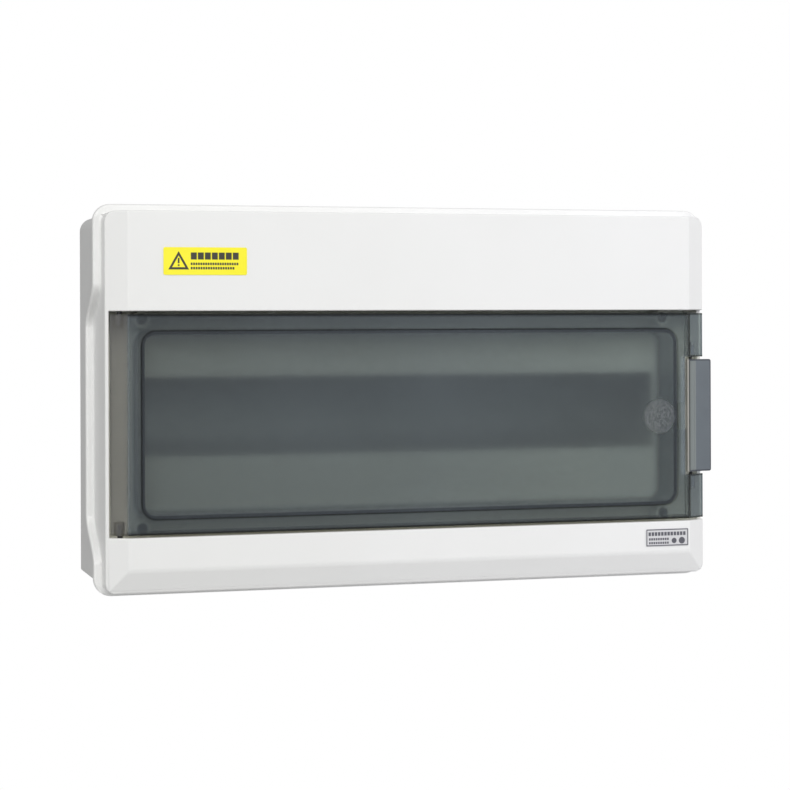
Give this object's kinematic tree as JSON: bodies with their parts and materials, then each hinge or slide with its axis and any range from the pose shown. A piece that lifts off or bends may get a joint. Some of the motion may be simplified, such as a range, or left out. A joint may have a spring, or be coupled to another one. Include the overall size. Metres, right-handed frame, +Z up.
{
  "type": "dc combiner box",
  "caption": "Wall-mounted plastic distribution enclosure with a smoked hinged door and sprung edge latch over a module window, with a rail and terminal bars inside.",
  "frame": {"origin": "middle of the wall face, at the height of the middle of the cover", "axes": "+X to the right as seen from the front, +Y into the wall, +Z up; the door and cover face -Y"},
  "size_m": [0.3715, 0.1084, 0.2211],
  "materials": {
    "cover_plastic": "fine satin moulded texture, light grey-white",
    "base_plastic": "fine satin moulded texture, light grey",
    "smoked_plastic": "smoked translucent polycarbonate, glossy outside, finely frosted panel",
    "latch_plastic": "smoked polycarbonate, satin",
    "seal_rubber": "matt foam rubber",
    "zinc_steel": "bright zinc plate",
    "black_steel": "blackened, satin",
    "support_plastic": "matt moulded",
    "bar_brass": "drawn brass, satin",
    "earth_plastic": "matt moulded green",
    "negative_plastic": "matt moulded blue",
    "warning_film": "satin yellow film with a plain dark triangle and bars",
    "rating_film": "satin pale film with plain thin dark bars"
  },
  "bodies": {
    "enclosure": {"base": "base_plastic", "base_seal": "seal_rubber", "cover": "cover_plastic", "door_seal": "seal_rubber", "hinge_pin_top": "black_steel", "hinge_pin_bottom": "black_steel", "cover_screw_1": "black_steel", "cover_screw_2": "black_steel", "cover_screw_3": "black_steel", "cover_screw_4": "black_steel", "wall_hole_plug_1": "cover_plastic", "wall_hole_plug_2": "cover_plastic", "wall_hole_plug_3": "cover_plastic", "wall_hole_plug_4": "cover_plastic", "din_rail": "zinc_steel", "rail_support_left": "support_plastic", "rail_screw_left": "zinc_steel", "rail_support_right": "support_plastic", "rail_screw_right": "zinc_steel", "earth_bar": "bar_brass", "earth_bar_holder_left": "earth_plastic", "earth_bar_holder_right": "earth_plastic", "earth_terminal_screw_1": "zinc_steel", "earth_terminal_screw_2": "zinc_steel", "earth_terminal_screw_3": "zinc_steel", "earth_terminal_screw_4": "zinc_steel", "earth_terminal_screw_5": "zinc_steel", "earth_terminal_screw_6": "zinc_steel", "negative_bar": "bar_brass", "negative_bar_holder_left": "negative_plastic", "negative_bar_holder_right": "negative_plastic", "negative_terminal_screw_1": "zinc_steel", "negative_terminal_screw_2": "zinc_steel", "negative_terminal_screw_3": "zinc_steel", "negative_terminal_screw_4": "zinc_steel", "negative_terminal_screw_5": "zinc_steel", "negative_terminal_screw_6": "zinc_steel", "warning_sticker": "warning_film", "rating_sticker": "rating_film"},
    "door": {"door": "smoked_plastic", "latch_pin": "black_steel"},
    "latch": {"latch": "latch_plastic"}
  },
  "joints": [
    {"name": "door_hinge", "type": "hinge", "parent": "enclosure", "child": "door", "pos_m": [-0.173, -0.102, -0.0124], "axis": [0, 0, -1], "range_deg": [0, 110]},
    {"name": "latch_pivot", "type": "hinge", "parent": "door", "child": "latch", "pos_m": [0.172, -0.1034, -0.0124], "axis": [0, 0, -1], "range_deg": [0, 20], "stiffness_Nm_per_rad": 0.05}
  ]
}
